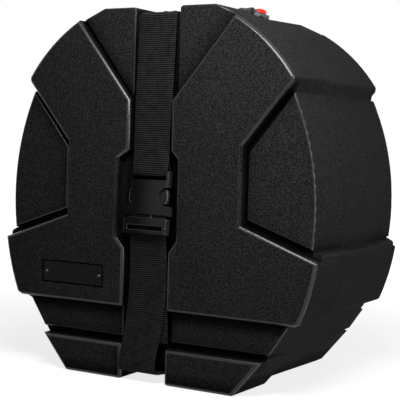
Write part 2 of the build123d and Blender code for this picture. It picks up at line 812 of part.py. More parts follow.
ear_middle = (arm_width + ear_thickness) / 2 + arm_gap
pin_half_length = ear_middle + ear_thickness / 2 + pin_head / 2
for side, side_name in ((1, "right"), (-1, "left")):
    with BuildPart() as bracket:
        with BuildSketch(Plane.XY.offset(land_z)):
            with Locations((side * arm_x, land_y)):
                Rectangle(bracket_width, land_length)
        extrude(amount=bracket_plate)
        with BuildSketch(Plane.YZ.offset(side * arm_x)):
            with Locations((pivot_y, land_z)):
                Rectangle(ear_radius * 2, pivot_height, align=(Align.CENTER, Align.MIN))
            with Locations((pivot_y, pivot_z)):
                Circle(ear_radius)
        extrude(amount=ear_middle + ear_thickness / 2, both=True)
        with BuildSketch(Plane.YZ.offset(side * arm_x)):
            with Locations((pivot_y, land_z + bracket_plate)):
                Rectangle(land_length * 2, overrun, align=(Align.CENTER, Align.MIN))
        extrude(amount=ear_middle - ear_thickness / 2, both=True, mode=Mode.SUBTRACT)
        with BuildSketch(Plane.YZ.offset(side * arm_x)):
            with Locations((pivot_y, pivot_z)):
                Circle(pin_radius + screw_gap)
        extrude(amount=bracket_width, both=True, mode=Mode.SUBTRACT)
        with BuildSketch(Plane.XY.offset(land_z)):
            with Locations(*[place for place in screw_places if place[0] * side > 0]):
                Circle(screw_radius + screw_gap)
        extrude(amount=overrun, mode=Mode.SUBTRACT)
    bracket.part.label = "handle_bracket_" + side_name
    export_step(bracket.part, "parts/handle_bracket_" + side_name + ".step")

    with BuildPart() as pin:
        with BuildSketch(Plane.YZ.offset(side * arm_x)):
            with Locations((pivot_y, pivot_z)):
                Circle(pin_radius)
        extrude(amount=pin_half_length, both=True)
        for end in (1, -1):
            with BuildSketch(Plane.YZ.offset(side * arm_x + end * (ear_middle + ear_thickness / 2))):
                with Locations((pivot_y, pivot_z)):
                    Circle(pin_head_radius)
            extrude(amount=end * pin_head)
    pin.part.label = "handle_pin_" + side_name
    export_step(pin.part, "parts/handle_pin_" + side_name + ".step")

    with BuildPart() as backing:
        with BuildSketch(Plane.XY.offset(land_inner_z)):
            with Locations((side * arm_x, land_y)):
                Rectangle(bracket_width, land_length)
            with Locations(*[place for place in screw_places if place[0] * side > 0]):
                Circle(screw_radius + screw_gap, mode=Mode.SUBTRACT)
        extrude(amount=-backing_thickness)
    backing.part.label = "handle_plate_" + side_name
    export_step(backing.part, "parts/handle_plate_" + side_name + ".step")

with BuildPart() as handle_screws:
    with BuildSketch(Plane.XY.offset(land_z + bracket_plate)):
        with Locations(*screw_places):
            Circle(screw_radius)
    extrude(amount=-(land_z + bracket_plate - land_inner_z + backing_thickness + screw_past))
    with BuildSketch(Plane.XY.offset(land_z + bracket_plate)):
        with Locations(*screw_places):
            Circle(screw_head_radius)
    extrude(amount=screw_head, taper=20)
handle_screws.part.label = "handle_screws"
export_step(handle_screws.part, "parts/handle_screws.step")

# The bare plate, riveted into its recess.
plate_back_y = front_y + plate_recess_depth
with BuildPart() as name_plate:
    with BuildSketch(at_y(plate_back_y)):
        with Locations((plate_x, plate_z)):
            RectangleRounded(plate_width, plate_height, plate_corner)
        with Locations((plate_x - plate_holes_x, plate_z), (plate_x + plate_holes_x, plate_z)):
            Circle(plate_rivet_radius + rivet_gap, mode=Mode.SUBTRACT)
    extrude(amount=plate_thickness)
name_plate.part.label = "name_plate"
export_step(name_plate.part, "parts/name_plate.step")

plate_rivet_back_y = front_y + wall
with BuildPart() as name_plate_rivets:
    for place in (plate_x - plate_holes_x, plate_x + plate_holes_x):
        with BuildSketch(at_y(plate_rivet_back_y)):
            with Locations((place, plate_z)):
                Circle(plate_rivet_radius)
        extrude(amount=plate_rivet_back_y - plate_back_y + plate_thickness)
        with BuildSketch(at_y(plate_back_y - plate_thickness)):
            with Locations((place, plate_z)):
                Circle(plate_rivet_head)
        extrude(amount=plate_rivet_dome, taper=30)
        with BuildSketch(at_y(plate_rivet_back_y)):
            with Locations((place, plate_z)):
                Circle(plate_rivet_head)
        extrude(amount=-plate_rivet_dome)
name_plate_rivets.part.label = "name_plate_rivets"
export_step(name_plate_rivets.part, "parts/name_plate_rivets.step")
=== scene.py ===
import math

import bmesh
import bpy
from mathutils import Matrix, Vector


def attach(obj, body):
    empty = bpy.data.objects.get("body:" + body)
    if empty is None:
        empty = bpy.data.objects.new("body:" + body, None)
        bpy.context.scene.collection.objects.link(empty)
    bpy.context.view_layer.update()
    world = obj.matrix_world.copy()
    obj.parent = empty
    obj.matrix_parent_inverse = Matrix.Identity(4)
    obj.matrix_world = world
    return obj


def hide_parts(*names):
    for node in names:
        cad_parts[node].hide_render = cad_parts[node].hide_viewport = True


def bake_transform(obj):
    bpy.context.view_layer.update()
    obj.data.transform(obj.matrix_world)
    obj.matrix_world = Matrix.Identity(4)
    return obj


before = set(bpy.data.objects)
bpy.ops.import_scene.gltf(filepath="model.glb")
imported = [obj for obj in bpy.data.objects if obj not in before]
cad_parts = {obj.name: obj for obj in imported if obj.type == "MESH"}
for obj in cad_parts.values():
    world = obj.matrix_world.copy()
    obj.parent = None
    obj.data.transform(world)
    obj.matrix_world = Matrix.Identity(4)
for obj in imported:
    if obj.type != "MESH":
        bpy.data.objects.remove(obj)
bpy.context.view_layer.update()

# Base shell: the rear half of the case, rotationally moulded in black polyethylene and cut from one hollow
# moulding with its lid. The mould was blasted, so the skin carries a sandy grain, and handling has rubbed
# its outward edges smoother and paler.


def linear(hex_colour):
    """The linear numbers for an sRGB hex colour."""
    shares = [int(hex_colour[i : i + 2], 16) / 255 for i in (1, 3, 5)]
    return [s / 12.92 if s <= 0.04045 else ((s + 0.055) / 1.055) ** 2.4 for s in shares] + [1.0]


def add_node(tree, kind, values=None, links=None, **settings):
    """Adds a node with its settings, the values of its sockets and the links into them."""
    node = tree.nodes.new(kind)
    for name, value in settings.items():
        setattr(node, name, value)
    for socket, value in (values or {}).items():
        node.inputs[socket].default_value = value
    for socket, source in (links or {}).items():
        tree.links.new(source, node.inputs[socket])
    return node


def start_material(name, values):
    """A new material whose shader has these values; returns the material, its tree and its shader."""
    material = bpy.data.materials.new(name)
    material.use_nodes = True
    tree = material.node_tree
    tree.nodes.clear()
    shader = add_node(tree, "ShaderNodeBsdfPrincipled", values)
    add_node(tree, "ShaderNodeOutputMaterial", links={"Surface": shader.outputs["BSDF"]})
    return material, tree, shader


def moulded_polyethylene(name, pit_hex, crest_hex, gloss, smooth, dull, relief):
    """Black polyethylene as it comes out of a blasted mould: a waxy skin whose sandy grain breaks the light
    up into points, with faint cloudy patches where the powder melted unevenly, and painted shade that darkens
    its inner corners towards black. The grain is drawn about 1.1 mm across, coarser than the real grit, to
    show at all."""
    grain_mm, pit_mm, cloud_mm, scuff_mm = 1.1, 1.43, 70, 9
    grain_height, cloud_share = 0.0002, 0.15
    corner_shade_hex, corner_reach, corner_power = "#010101", 0.022, 3.4
    material, tree, shader = start_material(name, {"IOR": 1.51, "Specular IOR Level": gloss})
    place = add_node(tree, "ShaderNodeTexCoord").outputs["Object"]
    grain = add_node(
        tree,
        "ShaderNodeTexNoise",
        {"Scale": 1000 / grain_mm, "Detail": 2.5, "Roughness": 0.65},
        {"Vector": place},
    )
    pits = add_node(
        tree, "ShaderNodeTexVoronoi", {"Scale": 1000 / pit_mm, "Randomness": 1.0}, {"Vector": place}
    )
    clouds = add_node(
        tree, "ShaderNodeTexNoise", {"Scale": 1000 / cloud_mm, "Detail": 3.0}, {"Vector": place}
    )
    scuffs = add_node(
        tree, "ShaderNodeTexNoise", {"Scale": 1000 / scuff_mm, "Detail": 4.0}, {"Vector": place}
    )
    sand = add_node(
        tree,
        "ShaderNodeMath",
        links={0: grain.outputs["Fac"], 1: pits.outputs["Distance"]},
        operation="ADD",
    )
    speckle = add_node(
        tree,
        "ShaderNodeMapRange",
        {"From Min": 0.7, "From Max": 1.25, "To Min": 0.0, "To Max": 0.85},
        {"Value": sand.outputs[0]},
    )
    mottled = add_node(
        tree,
        "ShaderNodeMath",
        {1: cloud_share},
        {0: clouds.outputs["Fac"], 2: speckle.outputs["Result"]},
        operation="MULTIPLY_ADD",
    )
    tone = add_node(
        tree,
        "ShaderNodeMix",
        {6: linear(pit_hex), 7: linear(crest_hex)},
        {0: mottled.outputs[0]},
        data_type="RGBA",
    )
    # Painted shade: ambient occlusion darkens the colour towards near black in inner corners and recesses,
    # where little light reaches.
    corners = add_node(tree, "ShaderNodeAmbientOcclusion", {"Distance": corner_reach}, samples=6)
    corner_shade_share = add_node(
        tree, "ShaderNodeMath", {1: corner_power}, {0: corners.outputs["AO"]}, operation="POWER"
    )
    painted_corner_shade = add_node(
        tree,
        "ShaderNodeMix",
        {6: linear(corner_shade_hex)},
        {0: corner_shade_share.outputs[0], 7: tone.outputs[2]},
        data_type="RGBA",
    )
    tree.links.new(painted_corner_shade.outputs[2], shader.inputs["Base Color"])
    polish = add_node(
        tree,
        "ShaderNodeMapRange",
        {"From Min": 0.3, "From Max": 0.7, "To Min": smooth, "To Max": dull},
        {"Value": scuffs.outputs["Fac"]},
    )
    tree.links.new(polish.outputs["Result"], shader.inputs["Roughness"])
    bump = add_node(
        tree, "ShaderNodeBump", {"Strength": relief, "Distance": grain_height}, {"Height": sand.outputs[0]}
    )
    tree.links.new(bump.outputs["Normal"], shader.inputs["Normal"])
    return material


def open_copy(node_name, ending, materials, merge_distance):
    """A copy of a CAD node's mesh in these materials, open for editing, with its loose triangles joined."""
    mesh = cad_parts[node_name].data.copy()
    mesh.name = node_name + ending
    mesh.materials.clear()
    for material in materials:
        mesh.materials.append(material)
    work = bmesh.new()
    work.from_mesh(mesh)
    bmesh.ops.remove_doubles(work, verts=work.verts, dist=merge_distance)
    return mesh, work


def close_piece(mesh, work):
    """Writes the edited form back to its mesh and gives the piece that has it."""
    work.to_mesh(mesh)
    work.free()
    piece = bpy.data.objects.new(mesh.name, mesh)
    bpy.context.scene.collection.objects.link(piece)
    return piece


def settle(piece):
    """Keeps what the piece's modifiers make of it as its plain mesh."""
    made = bpy.data.meshes.new_from_object(piece.evaluated_get(bpy.context.evaluated_depsgraph_get()))
    piece.modifiers.clear()
    piece.data = made


shell_skin = moulded_polyethylene(
    "rotomoulded_polyethylene", "#020202", "#292929", gloss=0.006, smooth=0.62, dull=0.70, relief=0.45
)
rubbed_skin = moulded_polyethylene(
    "rubbed_polyethylene", "#050505", "#1b1b1b", gloss=0.32, smooth=0.29, dull=0.34, relief=0.3
)


def moulding(node_name, body):
    """A copy of a shell's form, shaded as one smooth skin. Its rubbed edges are the narrow faces that bend
    outwards and lean away from both the front and the side."""
    edge_width, least_lean, most_lean, least_bend, rounds = 0.006, 0.12, 0.985, math.radians(-2), 2
    mesh, work = open_copy(node_name, "_skin", [shell_skin, rubbed_skin], merge_distance=0.00002)
    for face in work.faces:
        face.smooth = True
        bend = sum(edge.calc_face_angle_signed(0) for edge in face.edges)
        width = 2 * face.calc_area() / max(edge.calc_length() for edge in face.edges)
        leans = least_lean < abs(face.normal.y) < most_lean
        face.material_index = 1 if leans and bend > least_bend and width < edge_width else 0
    # Faces left plain between two rubbed ones are taken in, round by round, so that an edge has no gaps.
    for _ in range(rounds):
        between = [
            face
            for face in work.faces
            if face.material_index == 0
            and least_lean < abs(face.normal.y) < most_lean
            and sum(other.material_index for edge in face.edges for other in edge.link_faces) >= 2
        ]
        for face in between:
            face.material_index = 1
    piece = close_piece(mesh, work)
    mesh.set_sharp_from_angle(angle=math.radians(32))
    piece.modifiers.new("even faces", "WEIGHTED_NORMAL").keep_sharp = True
    settle(piece)
    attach(piece, body)
    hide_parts(node_name)


moulding("base_shell", "base")

# Lid shell: the front half, moulded with the base in the same black polyethylene. It slides over the base's
# lip and holds its raised panels, the strap's channel and the recess for the name plate.
moulding("lid_shell", "lid")

# Strap: one length of black polypropylene webbing, 50.8 mm wide, woven with a rib every 2.5 mm across it,
# coarser than real webbing so that it shows. It is folded round the buckle's top bar, runs once round the
# case and narrows a little where it goes through the buckle. Its tail hangs behind the lower run.
wide, less_wide, narrow = 0.0254, 0.0246, 0.0238
webbing_half_core = 0.00046
rib_pitch, rib_height = 0.0025, 0.00042
webbing_shift, bar_bend = -0.0004, 0.0012
seam_y = -0.047576
top_z, under_z, corner = 0.4362, 0.0118, 0.0062
# From the tail's end to the fold's end: x, y and z, the radius of the bend there, and the half width.
webbing_route = [
    (0.0009, -0.11793, 0.04802, 0, wide),
    (0.0, -0.11873, 0.09002, 0.3, wide),
    (-0.0002, -0.12002, 0.13999, 0.3, less_wide),
    (webbing_shift, -0.12272, 0.17202, 0.1, narrow),
    (webbing_shift, -0.12468, 0.18738, 0.00104, narrow),
    (webbing_shift, -0.12675, 0.18771, 0.00104, narrow),
    (webbing_shift, -0.12492, 0.17202, 0.1, narrow),
    (webbing_shift, -0.12233, 0.13999, 0.15, less_wide),
    (webbing_shift, -0.12293, 0.09999, 0.2, wide),
    (-0.0050, -0.12632, 0.05298, 0.2, wide),
    (-0.0094, -0.12863, 0.02702, 0.05, wide),
    (-0.0100, -0.12895, under_z, corner, wide),
    (-0.0030, -0.11138, under_z, 0.02, wide),
    (webbing_shift, seam_y, under_z, 0.02, wide),
    (webbing_shift, 0.11712, under_z, corner, wide),
    (webbing_shift, 0.11712, top_z, corner, wide),
    (webbing_shift, -0.11228, top_z, corner, wide),
    (webbing_shift, -0.11804, 0.33000, 0, wide),
    (webbing_shift, -0.12129, 0.27000, 0, narrow),
    (webbing_shift, -0.12260, 0.24583, bar_bend, narrow),
    (webbing_shift, -0.11569, 0.24473, bar_bend, narrow),
    (webbing_shift, -0.11469, 0.25105, bar_bend, narrow),
    (webbing_shift, -0.11975, 0.25969, 0.01, narrow),
    (webbing_shift, -0.11855, 0.28166, 0, narrow),
]


def follow(route, step):
    """Points a step apart along a route whose corners are rounded to their own radius, with the webbing's
    half width at each, and the whole length."""
    arc_parts, least_turn = 24, 0.001
    fine, halves = [Vector(route[0][:3])], [route[0][4]]
    for before, here, after in zip(route, route[1:], route[2:]):
        middle, radius, half_width = Vector(here[:3]), here[3], here[4]
        back = (Vector(before[:3]) - middle).normalized()
        ahead = (Vector(after[:3]) - middle).normalized()
        turn = math.pi - back.angle(ahead)
        if radius == 0 or turn < least_turn:
            fine.append(middle)
            halves.append(half_width)
            continue
        reach = radius * math.tan(turn / 2)
        centre = middle + (back + ahead).normalized() * (radius / math.cos(turn / 2))
        start, end = middle + back * reach - centre, middle + ahead * reach - centre
        for i in range(arc_parts + 1):
            share = i / arc_parts
            swept = start * math.sin((1 - share) * turn) + end * math.sin(share * turn)
            fine.append(centre + swept / math.sin(turn))
            halves.append(half_width)
    fine.append(Vector(route[-1][:3]))
    halves.append(route[-1][4])
    lengths = [0.0]
    for a, b in zip(fine, fine[1:]):
        lengths.append(lengths[-1] + (b - a).length)
    count = int(lengths[-1] / step)
    points, widths, at = [], [], 0
    for i in range(count + 1):
        wanted = lengths[-1] * i / count
        while at < len(lengths) - 2 and lengths[at + 1] < wanted:
            at += 1
        span = lengths[at + 1] - lengths[at]
        share = (wanted - lengths[at]) / span if span > 0 else 0
        points.append(fine[at].lerp(fine[at + 1], share))
        widths.append(halves[at] + (halves[at + 1] - halves[at]) * share)
    return points, widths, lengths[-1]


def woven_band(name, route):
    """A flat closed band along the route, with its length and the way out of each side kept for the ribs."""
    steps_in_rib = 7
    points, widths, length = follow(route, rib_pitch / steps_in_rib)
    across = [-1.0, -0.985, -0.6, -0.2, 0.2, 0.6, 0.985, 1.0]
    thickness = [0.55, 1, 1, 1, 1, 1, 1, 0.55]
    ring = [(a, t, 1) for a, t in zip(across, thickness)]
    ring += [(a, t, -1) for a, t in zip(across[::-1], thickness)]
    vertices, outward, along = [], [], []
    for i, point in enumerate(points):
        before, after = points[max(i - 1, 0)], points[min(i + 1, len(points) - 1)]
        run = (after - before).normalized()
        normal = Vector((0, run.z, -run.y)).normalized()
        for a, t, side in ring:
            out = normal * side * t
            vertices.append(point + Vector((a * widths[i], 0, 0)) + out * webbing_half_core)
            outward.append(out)
            along.append(length * i / (len(points) - 1))
    size = len(ring)
    faces = []
    for i in range(len(points) - 1):
        for j in range(size):
            k = (j + 1) % size
            faces.append((i * size + j, (i + 1) * size + j, (i + 1) * size + k, i * size + k))
    last = (len(points) - 1) * size
    faces.append(tuple(range(size)))
    faces.append(tuple(last + j for j in range(size - 1, -1, -1)))
    mesh = bpy.data.meshes.new(name)
    mesh.from_pydata([tuple(v) for v in vertices], [], faces)
    mesh.attributes.new("along", "FLOAT", "POINT").data.foreach_set("value", along)
    ways_out = [number for way in outward for number in way]
    mesh.attributes.new("outward", "FLOAT_VECTOR", "POINT").data.foreach_set("vector", ways_out)
    weave = mesh.uv_layers.new(name="weave")
    for loop in mesh.loops:
        v = loop.vertex_index
        weave.data[loop.index].uv = (ring[v % size][0] * wide, along[v])
    mesh.polygons.foreach_set("use_smooth", [True] * len(mesh.polygons))
    band = bpy.data.objects.new(name, mesh)
    bpy.context.scene.collection.objects.link(band)
    return band


def ribbed_tree(material):
    """Geometry nodes that raise the ribs along a woven band."""
    tree = bpy.data.node_groups.new("webbing_ribs", "GeometryNodeTree")
    tree.interface.new_socket("Band", in_out="INPUT", socket_type="NodeSocketGeometry")
    tree.interface.new_socket("Rib pitch", in_out="INPUT", socket_type="NodeSocketFloat")
    tree.interface.new_socket("Rib height", in_out="INPUT", socket_type="NodeSocketFloat")
    tree.interface.new_socket("Webbing", in_out="OUTPUT", socket_type="NodeSocketGeometry")
    given = add_node(tree, "NodeGroupInput").outputs
    along = add_node(tree, "GeometryNodeInputNamedAttribute", {"Name": "along"}, data_type="FLOAT")
    out = add_node(tree, "GeometryNodeInputNamedAttribute", {"Name": "outward"}, data_type="FLOAT_VECTOR")
    turns = add_node(
        tree,
        "ShaderNodeMath",
        links={0: along.outputs["Attribute"], 1: given["Rib pitch"]},
        operation="DIVIDE",
    )
    angle = add_node(tree, "ShaderNodeMath", {1: math.pi}, {0: turns.outputs[0]}, operation="MULTIPLY")
    wave = add_node(tree, "ShaderNodeMath", links={0: angle.outputs[0]}, operation="SINE")
    crest = add_node(tree, "ShaderNodeMath", links={0: wave.outputs[0]}, operation="ABSOLUTE")
    rise = add_node(
        tree, "ShaderNodeMath", links={0: crest.outputs[0], 1: given["Rib height"]}, operation="MULTIPLY"
    )
    shift = add_node(
        tree,
        "ShaderNodeVectorMath",
        links={"Vector": out.outputs["Attribute"], "Scale": rise.outputs[0]},
        operation="SCALE",
    )
    moved = add_node(
        tree,
        "GeometryNodeSetPosition",
        links={"Geometry": given["Band"], "Offset": shift.outputs["Vector"]},
    )
    real = add_node(tree, "GeometryNodeRealizeInstances", links={"Geometry": moved.outputs["Geometry"]})
    coloured = add_node(
        tree, "GeometryNodeSetMaterial", {"Material": material}, {"Geometry": real.outputs["Geometry"]}
    )
    add_node(tree, "NodeGroupOutput", links={"Webbing": coloured.outputs["Geometry"]})
    return tree


def apply_tree(piece, tree, inputs):
    """Runs the node tree on the piece, with inputs by name, and keeps the result as its plain mesh."""
    modifier = piece.modifiers.new(tree.name, "NODES")
    modifier.node_group = tree
    for item in tree.interface.items_tree:
        if item.in_out == "INPUT" and item.name in inputs:
            modifier[item.identifier] = inputs[item.name]
    settle(piece)


def polypropylene_webbing():
    """Webbing woven from spun polypropylene: dull black ribs with a soft sheen, painted light on their crests
    and painted shade that makes the gaps between them nearly black, and warp threads about 1.1 mm apart along
    the strap. Wear leaves some ribs paler than others."""
    thread_mm, fuzz_mm, wear_mm = 1.1, 0.5, 8
    thread_height, fuzz_tone, fuzz_height = 0.00025, 0.15, 0.5
    material, tree, shader = start_material(
        "polypropylene_webbing",
        {
            "Roughness": 0.6,
            "IOR": 1.49,
            "Specular IOR Level": 0.025,
            "Sheen Weight": 0.02,
            "Sheen Roughness": 0.45,
        },
    )
    weave = add_node(tree, "ShaderNodeUVMap", uv_map="weave").outputs["UV"]
    place = add_node(tree, "ShaderNodeTexCoord").outputs["Object"]
    threads = add_node(
        tree,
        "ShaderNodeTexWave",
        {"Scale": 1000 / thread_mm / math.tau * 2, "Distortion": 0.4, "Detail": 1.0},
        {"Vector": weave},
        wave_type="BANDS",
        bands_direction="X",
    )
    fuzz = add_node(tree, "ShaderNodeTexNoise", {"Scale": 1000 / fuzz_mm, "Detail": 2.0}, {"Vector": place})
    along = add_node(tree, "ShaderNodeSeparateXYZ", links={"Vector": weave}).outputs["Y"]
    turns = add_node(tree, "ShaderNodeMath", {1: math.pi / rib_pitch}, {0: along}, operation="MULTIPLY")
    wave = add_node(tree, "ShaderNodeMath", links={0: turns.outputs[0]}, operation="SINE")
    crest = add_node(tree, "ShaderNodeMath", links={0: wave.outputs[0]}, operation="ABSOLUTE")
    # Painted light and shade: the colour is lighter on the rib crests and near black in the gaps between
    # them, where shade falls.
    painted_crest_light = add_node(
        tree,
        "ShaderNodeMapRange",
        {"From Min": 0.55, "From Max": 1.0, "To Min": 0.0, "To Max": 1.0},
        {"Value": crest.outputs[0]},
    )
    patches = add_node(
        tree, "ShaderNodeTexNoise", {"Scale": 1000 / wear_mm, "Detail": 2.0}, {"Vector": place}
    )
    uneven = add_node(
        tree,
        "ShaderNodeMapRange",
        {"From Min": 0.3, "From Max": 0.7, "To Min": 0.45, "To Max": 1.5},
        {"Value": patches.outputs["Fac"]},
    )
    # The painted rib light and shade, made uneven by random patches of wear.
    shaded_and_worn_ribs = add_node(
        tree,
        "ShaderNodeMath",
        links={0: painted_crest_light.outputs["Result"], 1: uneven.outputs["Result"]},
        operation="MULTIPLY",
    )
    yarn_and_rib_shading = add_node(
        tree,
        "ShaderNodeMath",
        {1: fuzz_tone},
        {0: fuzz.outputs["Fac"], 2: shaded_and_worn_ribs.outputs[0]},
        operation="MULTIPLY_ADD",
    )
    tone = add_node(
        tree,
        "ShaderNodeMix",
        {6: linear("#010101"), 7: linear("#252525")},
        {0: yarn_and_rib_shading.outputs[0]},
        data_type="RGBA",
    )
    tree.links.new(tone.outputs[2], shader.inputs["Base Color"])
    height = add_node(
        tree,
        "ShaderNodeMath",
        {1: fuzz_height},
        {0: fuzz.outputs["Fac"], 2: threads.outputs["Fac"]},
        operation="MULTIPLY_ADD",
    )
    bump = add_node(
        tree, "ShaderNodeBump", {"Strength": 0.5, "Distance": thread_height}, {"Height": height.outputs[0]}
    )
    tree.links.new(bump.outputs["Normal"], shader.inputs["Normal"])
    return material


webbing = polypropylene_webbing()
strap = woven_band("strap_webbing", webbing_route)
strap.data.materials.append(webbing)
apply_tree(strap, ribbed_tree(webbing), {"Rib pitch": rib_pitch, "Rib height": rib_height})
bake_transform(strap)
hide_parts("strap_front_upper", "strap_front_lower", "strap_base", "strap_tail")

# Buckle: a side-release buckle in black acetal, a hard glossy plastic that is injection moulded. Its socket
# hangs on the webbing's fold, its plug on the lower run, and the plug's two prongs spring out at its sides.


def acetal(name, gloss, smooth, dull, side_light_share):
    """Moulded acetal: deep black with a smooth sheen, with painted light that makes its colour lighter
    towards its right side (+x), where the light falls.
    """
    ripple_mm, ripple_height = 2.5, 0.0001
    shaded_side_x, lit_side_x = -0.018, 0.014
    material, tree, shader = start_material(name, {"IOR": 1.48, "Specular IOR Level": gloss})
    place = add_node(tree, "ShaderNodeTexCoord").outputs["Object"]
    ripple = add_node(
        tree, "ShaderNodeTexNoise", {"Scale": 1000 / ripple_mm, "Detail": 3.0}, {"Vector": place}
    )
    tone = add_node(
        tree,
        "ShaderNodeMix",
        {6: linear("#020202"), 7: linear("#080808")},
        {0: ripple.outputs["Fac"]},
        data_type="RGBA",
    )
    across = add_node(tree, "ShaderNodeSeparateXYZ", links={"Vector": place})
    # Painted light: the base colour grows lighter towards +x, the side that the light falls on.
    painted_side_light = add_node(
        tree,
        "ShaderNodeMapRange",
        {"From Min": shaded_side_x, "From Max": lit_side_x, "To Max": side_light_share},
        {"Value": across.outputs["X"]},
        interpolation_type="SMOOTHSTEP",
    )
    side_lit_tone = add_node(
        tree,
        "ShaderNodeMix",
        {7: linear("#1f1f1f")},
        {0: painted_side_light.outputs["Result"], 6: tone.outputs[2]},
        data_type="RGBA",
    )
    tree.links.new(side_lit_tone.outputs[2], shader.inputs["Base Color"])
    polish = add_node(
        tree, "ShaderNodeMapRange", {"To Min": smooth, "To Max": dull}, {"Value": ripple.outputs["Fac"]}
    )
    tree.links.new(polish.outputs["Result"], shader.inputs["Roughness"])
    bump = add_node(
        tree,
        "ShaderNodeBump",
        {"Strength": 0.12, "Distance": ripple_height},
        {"Height": ripple.outputs["Fac"]},
    )
    tree.links.new(bump.outputs["Normal"], shader.inputs["Normal"])
    return material


# The buckle's plastic carries the painted side light; its polished edges carry none.
buckle_plastic = acetal("acetal", gloss=0.035, smooth=0.16, dull=0.26, side_light_share=0.9)
buckle_edges = acetal("polished_acetal", gloss=1.0, smooth=0.24, dull=0.32, side_light_share=0.0)
edge_break = 0.0008


def buckle_part(node_name, body):
    """A copy of a buckle part's form with its sharp edges broken, as the moulding tool leaves them."""
    mesh, work = open_copy(node_name, "_moulding", [buckle_plastic, buckle_edges], merge_distance=0.00001)
    bmesh.ops.dissolve_limit(work, angle_limit=math.radians(0.5), verts=work.verts, edges=work.edges)
    for face in work.faces:
        face.smooth = True
    piece = close_piece(mesh, work)
    broken = piece.modifiers.new("broken edges", "BEVEL")
    broken.width, broken.segments, broken.limit_method = edge_break, 3, "ANGLE"
    broken.angle_limit = math.radians(50)
    broken.material = 1
    piece.modifiers.new("even faces", "WEIGHTED_NORMAL").keep_sharp = True
    settle(piece)
    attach(piece, body)
    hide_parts(node_name)


for node_name, body in (
    ("buckle_socket", "lid"),
    ("buckle_plug", "lid"),
    ("buckle_prong_left", "prong_left"),
    ("buckle_prong_right", "prong_right"),
):
    buckle_part(node_name, body)

# Name plate: a thin plain plate, cut from rolled aluminium and anodised black. It lies in its recess in the
# lid and is held by a blackened steel rivet at each end.


def anodised_aluminium():
    """Black anodised aluminium: an even dark film over rolled metal, with a fine grain along the plate."""
    streak_mm, streak_length_mm, streak_height = 10 / 36, 100 / 24, 0.00005
    material, tree, shader = start_material("anodised_aluminium", {"Metallic": 1.0})
    place = add_node(tree, "ShaderNodeTexCoord").outputs["Object"]
    stretch = (1000 / streak_length_mm, 1000 / streak_mm, 1000 / streak_mm)
    stretched = add_node(tree, "ShaderNodeMapping", {"Scale": stretch}, {"Vector": place}).outputs[0]
    grain = add_node(tree, "ShaderNodeTexNoise", {"Scale": 1.0, "Detail": 3.0}, {"Vector": stretched})
    tone = add_node(
        tree,
        "ShaderNodeMix",
        {6: linear("#0d0d0d"), 7: linear("#1b1b1b")},
        {0: grain.outputs["Fac"]},
        data_type="RGBA",
    )
    tree.links.new(tone.outputs[2], shader.inputs["Base Color"])
    polish = add_node(
        tree, "ShaderNodeMapRange", {"To Min": 0.28, "To Max": 0.45}, {"Value": grain.outputs["Fac"]}
    )
    tree.links.new(polish.outputs["Result"], shader.inputs["Roughness"])
    bump = add_node(
        tree,
        "ShaderNodeBump",
        {"Strength": 0.15, "Distance": streak_height},
        {"Height": grain.outputs["Fac"]},
    )
    tree.links.new(bump.outputs["Normal"], shader.inputs["Normal"])
    return material


def plated_steel(name, dark_hex, light_hex):
    """Steel with a thin plating: a bluish grey or blackened metal that is slightly cloudy."""
    cloud_mm = 10 / 7
    material, tree, shader = start_material(name, {"Metallic": 1.0})
    place = add_node(tree, "ShaderNodeTexCoord").outputs["Object"]
    clouds = add_node(
        tree, "ShaderNodeTexNoise", {"Scale": 1000 / cloud_mm, "Detail": 4.0}, {"Vector": place}
    )
    tone = add_node(
        tree,
        "ShaderNodeMix",
        {6: linear(dark_hex), 7: linear(light_hex)},
        {0: clouds.outputs["Fac"]},
        data_type="RGBA",
    )
    tree.links.new(tone.outputs[2], shader.inputs["Base Color"])
    polish = add_node(
        tree, "ShaderNodeMapRange", {"To Min": 0.26, "To Max": 0.44}, {"Value": clouds.outputs["Fac"]}
    )
    tree.links.new(polish.outputs["Result"], shader.inputs["Roughness"])
    return material


def finish_nodes(material, *node_names):
    """Gives CAD nodes, whose shape stays as it is, their material."""
    for node_name in node_names:
        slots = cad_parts[node_name].data.materials
        slots.clear()
        slots.append(material)


finish_nodes(anodised_aluminium(), "name_plate")
finish_nodes(plated_steel("blackened_steel", "#2c2e31", "#4a4d52"), "name_plate_rivets")

# Fixings of the base: turned rivets with washers hold the strap to its rear wall, and two pressed plates,
# tapped for the handle's screws, lie under its top. All are zinc-plated steel.
bright_zinc = plated_steel("zinc_plated_steel", "#8d9196", "#b6babf")
finish_nodes(bright_zinc, "strap_rivets", "strap_washers", "handle_plate_left", "handle_plate_right")

# Handle: a bail of black glass-filled nylon that turns on steel pins between two moulded brackets, which are
# screwed to the base's top. A soft red crown is moulded over the upper half of its grip.


def glass_filled_nylon():
    """Glass-filled nylon: charcoal black, satin, with a fine leather-like texture from the tool."""
    cell_mm, cell_height = 10 / 11, 0.0001
    material, tree, shader = start_material("glass_filled_nylon", {"IOR": 1.53, "Specular IOR Level": 0.45})
    place = add_node(tree, "ShaderNodeTexCoord").outputs["Object"]
    texture = add_node(tree, "ShaderNodeTexVoronoi", {"Scale": 1000 / cell_mm}, {"Vector": place})
    tone = add_node(
        tree,
        "ShaderNodeMix",
        {6: linear("#121315"), 7: linear("#202225")},
        {0: texture.outputs["Distance"]},
        data_type="RGBA",
    )
    tree.links.new(tone.outputs[2], shader.inputs["Base Color"])
    polish = add_node(
        tree, "ShaderNodeMapRange", {"To Min": 0.34, "To Max": 0.5}, {"Value": texture.outputs["Distance"]}
    )
    tree.links.new(polish.outputs["Result"], shader.inputs["Roughness"])
    bump = add_node(
        tree,
        "ShaderNodeBump",
        {"Strength": 0.3, "Distance": cell_height},
        {"Height": texture.outputs["Distance"]},
    )
    tree.links.new(bump.outputs["Normal"], shader.inputs["Normal"])
    return material


